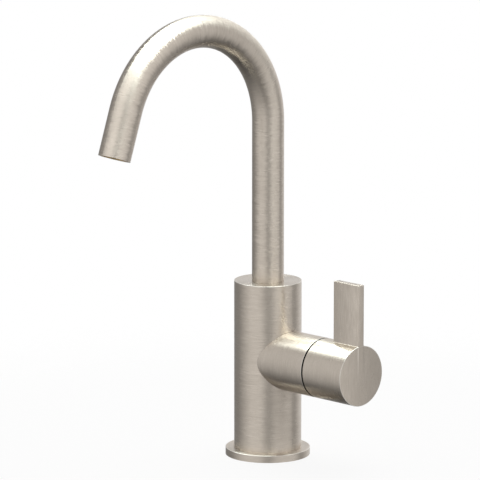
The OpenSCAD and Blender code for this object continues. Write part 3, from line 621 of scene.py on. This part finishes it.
line = add(tree, "ShaderNodeCombineXYZ", {}, {"Y": back.outputs["Value"], "Z": cosine.outputs["Value"]})
beyond = add(tree, "ShaderNodeVectorMath", {"operation": "DOT_PRODUCT"},
             {0: place.outputs["Vector"], 1: line.outputs["Vector"]})
across = add(tree, "ShaderNodeMath", {"operation": "MULTIPLY_ADD"},
             {0: bent.outputs["Value"], 1: bend_radius, 2: beyond.outputs["Value"]})
tangent = add(tree, "ShaderNodeVectorTransform",
              {"vector_type": "VECTOR", "convert_from": "OBJECT", "convert_to": "WORLD"},
              {"Vector": line.outputs["Vector"]})
dress("spout_tube", brushed_nickel(parts, across.outputs["Value"], tangent.outputs["Vector"], 0.0,
                                   waver=spout_sway))


# Outlet ring: a turned brass ring brazed into the spout's mouth and left unplated inside, where it
# is threaded for the aerator.
dress("outlet_ring", brass_along_z)


# Aerator: a dark acetal shell with a honeycomb plate, a domed filter and a rubber washer. It screws
# in from below with a key, so only its notched rim and the honeycomb show.
dark_acetal = moulded("moulded_dark_grey_acetal", "#35342F", "#43413D", 0.5, 0.4 * MM, 0.02 * MM)
dress("aerator_washer", rubber)
dress("aerator_shell", dark_acetal)
dress("aerator_honeycomb", dark_acetal)
dress("aerator_filter", nylon)


# Studio: a white floor that fades into a white surround. Metal shows the surround as a photographer
# lights it: pale walls with two dark cards, a dark floor well below, and a large soft light above.
scene = bpy.context.scene
scene.view_settings.view_transform = "Standard"

floor_radius = 0.45
shadow_x = 0.17
shadow_y = -0.01
shadow_radius = 0.14
shadow_depth = 0.5
shadow_light = 0.1
paper_share = 0.12
bpy.ops.object.select_all(action="DESELECT")
bpy.ops.mesh.primitive_circle_add(vertices=96, radius=floor_radius, fill_type="NGON", location=(0, 0, 0))
floor = bpy.context.object
floor.name = "studio_floor"
material, tree, point = blank_material("studio_floor_paper")
reach = add(tree, "ShaderNodeVectorMath", {"operation": "LENGTH"}, {0: point})
fade = add(tree, "ShaderNodeMapRange", {"interpolation_type": "SMOOTHSTEP"},
           {"Value": reach.outputs["Value"], "From Min": 0.5 * floor_radius, "From Max": floor_radius,
            "To Min": 1.0, "To Max": 0.0})
ray = add(tree, "ShaderNodeLightPath", {}, {})
sheet = add(tree, "ShaderNodeNewGeometry", {}, {})
above = add(tree, "ShaderNodeMath", {"operation": "SUBTRACT"}, {0: 1.0, 1: sheet.outputs["Backfacing"]})
from_above = add(tree, "ShaderNodeMath", {"operation": "MULTIPLY"},
                 {0: above.outputs["Value"], 1: ray.outputs["Is Camera Ray"]})
seen = add(tree, "ShaderNodeMath", {"operation": "MULTIPLY"},
           {0: fade.outputs["Result"], 1: from_above.outputs["Value"]})
paper = add(tree, "ShaderNodeBsdfDiffuse", {}, {"Color": linear("#FFFFFF")})
glow = add(tree, "ShaderNodeEmission", {}, {"Color": linear("#FFFFFF"), "Strength": 1.0})
lit = add(tree, "ShaderNodeMixShader", {},
          {0: paper_share, 1: glow.outputs["Emission"], 2: paper.outputs["BSDF"]})
# In the metal only the shadow on the paper below the handle shows, as a dimmer patch.
away = add(tree, "ShaderNodeVectorMath", {"operation": "DISTANCE"}, {0: point, 1: (shadow_x, shadow_y, 0)})
shadow = add(tree, "ShaderNodeMapRange", {"interpolation_type": "SMOOTHSTEP"},
             {"Value": away.outputs["Value"], "From Min": 0.2 * shadow_radius, "From Max": shadow_radius,
              "To Min": shadow_depth, "To Max": 0.0})
mirrored_shadow = add(tree, "ShaderNodeMath", {"operation": "MULTIPLY"},
                      {0: shadow.outputs["Result"], 1: ray.outputs["Is Glossy Ray"]})
clear = add(tree, "ShaderNodeBsdfTransparent", {}, {})
dim = add(tree, "ShaderNodeEmission", {}, {"Color": linear("#FFFFFF"), "Strength": shadow_light})
in_metal = add(tree, "ShaderNodeMixShader", {},
               {0: mirrored_shadow.outputs["Value"], 1: clear.outputs["BSDF"], 2: dim.outputs["Emission"]})
surface = add(tree, "ShaderNodeMixShader", {},
              {0: seen.outputs["Value"], 1: in_metal.outputs["Shader"], 2: lit.outputs["Shader"]})
add(tree, "ShaderNodeOutputMaterial", {}, {"Surface": surface.outputs["Shader"]})
floor.data.materials.append(material)

# What the metal sees around it, by compass angle: 0 is +X, the lever's side, and -90 is the user's.
walls = [(-180, 0.36), (-165, 0.35), (-148, 0.51), (-130, 0.71), (-112, 0.93), (-92, 1.06), (-72, 0.99),
         (-58, 0.76), (-45, 0.54), (-31, 0.66), (-16, 0.94), (2, 0.98), (14, 0.95), (27, 0.92), (40, 0.77),
         (58, 0.45), (71, 0.60), (88, 0.81), (105, 0.90), (125, 0.87), (142, 0.60), (162, 0.30), (180, 0.36)]
# How bright that is at each height, as the sine of its angle above the horizon.
heights = [(-1.0, 0.06), (-0.94, 0.12), (-0.77, 0.24), (-0.42, 0.74), (0.0, 1.0), (0.34, 1.08), (0.64, 1.2)]
# The softbox above, by the slopes at which its sides are seen to the left and right, and fore and aft.
box_left, box_right = -1.05, 0.9
box_front, box_back = -0.33, 0.55
box_edge = 0.16
box_front_edge = 0.28
box_radiance = (6.2, 6.85, 6.8, 1)
horizon = 0.02
fill_light = 0.5
world = bpy.data.worlds.new("studio_surround")
world.use_nodes = True
scene.world = world
tree = world.node_tree
tree.nodes.clear()


def ramp_of(tree, value, points, low, high, interpolation):
    """A grey that follows the points, from low to high."""
    share = add(tree, "ShaderNodeMapRange", {}, {"Value": value, "From Min": low, "From Max": high})
    ramp = add(tree, "ShaderNodeValToRGB", {}, {0: share.outputs["Result"]})
    ramp.color_ramp.interpolation = interpolation
    stops = ramp.color_ramp.elements
    while len(stops) > 1:
        stops.remove(stops[-1])
    for place, grey in points:
        stops.new((place - low) / (high - low)).color = (grey, grey, grey, 1)
    stops.remove(stops[0])
    return ramp.outputs["Color"]


way = add(tree, "ShaderNodeTexCoord", {}, {}).outputs["Generated"]
axes = add(tree, "ShaderNodeSeparateXYZ", {}, {"Vector": way})
height = axes.outputs["Z"]
bearing = add(tree, "ShaderNodeMath", {"operation": "ARCTAN2"},
              {0: axes.outputs["Y"], 1: axes.outputs["X"]})
compass = add(tree, "ShaderNodeMath", {"operation": "DEGREES"}, {0: bearing.outputs["Value"]})
around = ramp_of(tree, compass.outputs["Value"], walls, -180, 180, "CARDINAL")
upright = ramp_of(tree, height, heights, -1, 1, "LINEAR")
wall = add(tree, "ShaderNodeVectorMath", {"operation": "MULTIPLY"}, {0: around, 1: upright})
up = add(tree, "ShaderNodeMath", {"operation": "MAXIMUM"}, {0: height, 1: horizon})
box = None
for way_across, first, last in (("X", box_left, box_right), ("Y", box_front, box_back)):
    slope = add(tree, "ShaderNodeMath", {"operation": "DIVIDE"},
                {0: axes.outputs[way_across], 1: up.outputs["Value"]})
    for edge, sign in ((first, 1), (last, -1)):
        soft = box_front_edge if edge == box_front else box_edge
        inside_box = add(tree, "ShaderNodeMapRange", {"interpolation_type": "SMOOTHSTEP"},
                         {"Value": slope.outputs["Value"], "From Min": edge - sign * soft,
                          "From Max": edge + sign * soft})
        if box is None:
            box = inside_box.outputs["Result"]
        else:
            box = add(tree, "ShaderNodeMath", {"operation": "MULTIPLY"},
                      {0: box, 1: inside_box.outputs["Result"]}).outputs["Value"]
studio = add(tree, "ShaderNodeMix", {"data_type": "RGBA"},
             {"Factor": box, "A": wall.outputs["Vector"], "B": box_radiance})
mirrored = add(tree, "ShaderNodeBackground", {}, {"Color": studio.outputs["Result"], "Strength": 1.0})
fill = add(tree, "ShaderNodeBackground", {}, {"Color": linear("#FFFFFF"), "Strength": fill_light})
white = add(tree, "ShaderNodeBackground", {}, {"Color": linear("#FFFFFF"), "Strength": 1.0})
ray = add(tree, "ShaderNodeLightPath", {}, {})
lighting = add(tree, "ShaderNodeMixShader", {},
               {0: ray.outputs["Is Glossy Ray"], 1: fill.outputs["Background"],
                2: mirrored.outputs["Background"]})
direct = add(tree, "ShaderNodeMath", {"operation": "MAXIMUM"},
             {0: ray.outputs["Is Camera Ray"], 1: ray.outputs["Is Transmission Ray"]})
surround = add(tree, "ShaderNodeMixShader", {},
               {0: direct.outputs["Value"], 1: lighting.outputs["Shader"], 2: white.outputs["Background"]})
add(tree, "ShaderNodeOutputWorld", {}, {"Surface": surround.outputs["Shader"]})

# The soft light above stands a little behind the tap and to its left.
light_size = 1.5
light_radiance = 1.4
bpy.ops.object.light_add(type="AREA", location=(-0.2, 0.25, 1.5))
soft_light = bpy.context.object
soft_light.name = "soft_light"
soft_light.data.shape = "SQUARE"
soft_light.data.size = light_size
soft_light.data.energy = light_radiance * math.pi * light_size ** 2
soft_light.visible_glossy = False
aim = Vector((0, -0.05, 0.15)) - soft_light.location
soft_light.rotation_euler = aim.to_track_quat("-Z", "Y").to_euler()

# Camera: the photograph was taken from the front right, from a little above and far off.
camera_azimuth = math.radians(44.948)
camera_distance = 2.920157
camera_height = 0.727383
camera_yaw = math.radians(0.377)
camera_pitch = math.radians(11.176)
focal_pixels = 4333.203
image_pixels = 480
bpy.ops.object.camera_add(location=(camera_distance * math.sin(camera_azimuth),
                                    -camera_distance * math.cos(camera_azimuth), camera_height))
camera = bpy.context.object
camera.data.sensor_width = 36
camera.data.lens = focal_pixels / image_pixels * camera.data.sensor_width
camera.data.clip_start = 0.1
camera.data.clip_end = 50
heading = math.atan2(-camera.location.y, -camera.location.x) + camera_yaw
look = Vector((math.cos(heading) * math.cos(camera_pitch), math.sin(heading) * math.cos(camera_pitch),
               -math.sin(camera_pitch)))
camera.rotation_euler = look.to_track_quat("-Z", "Y").to_euler()
scene.camera = camera
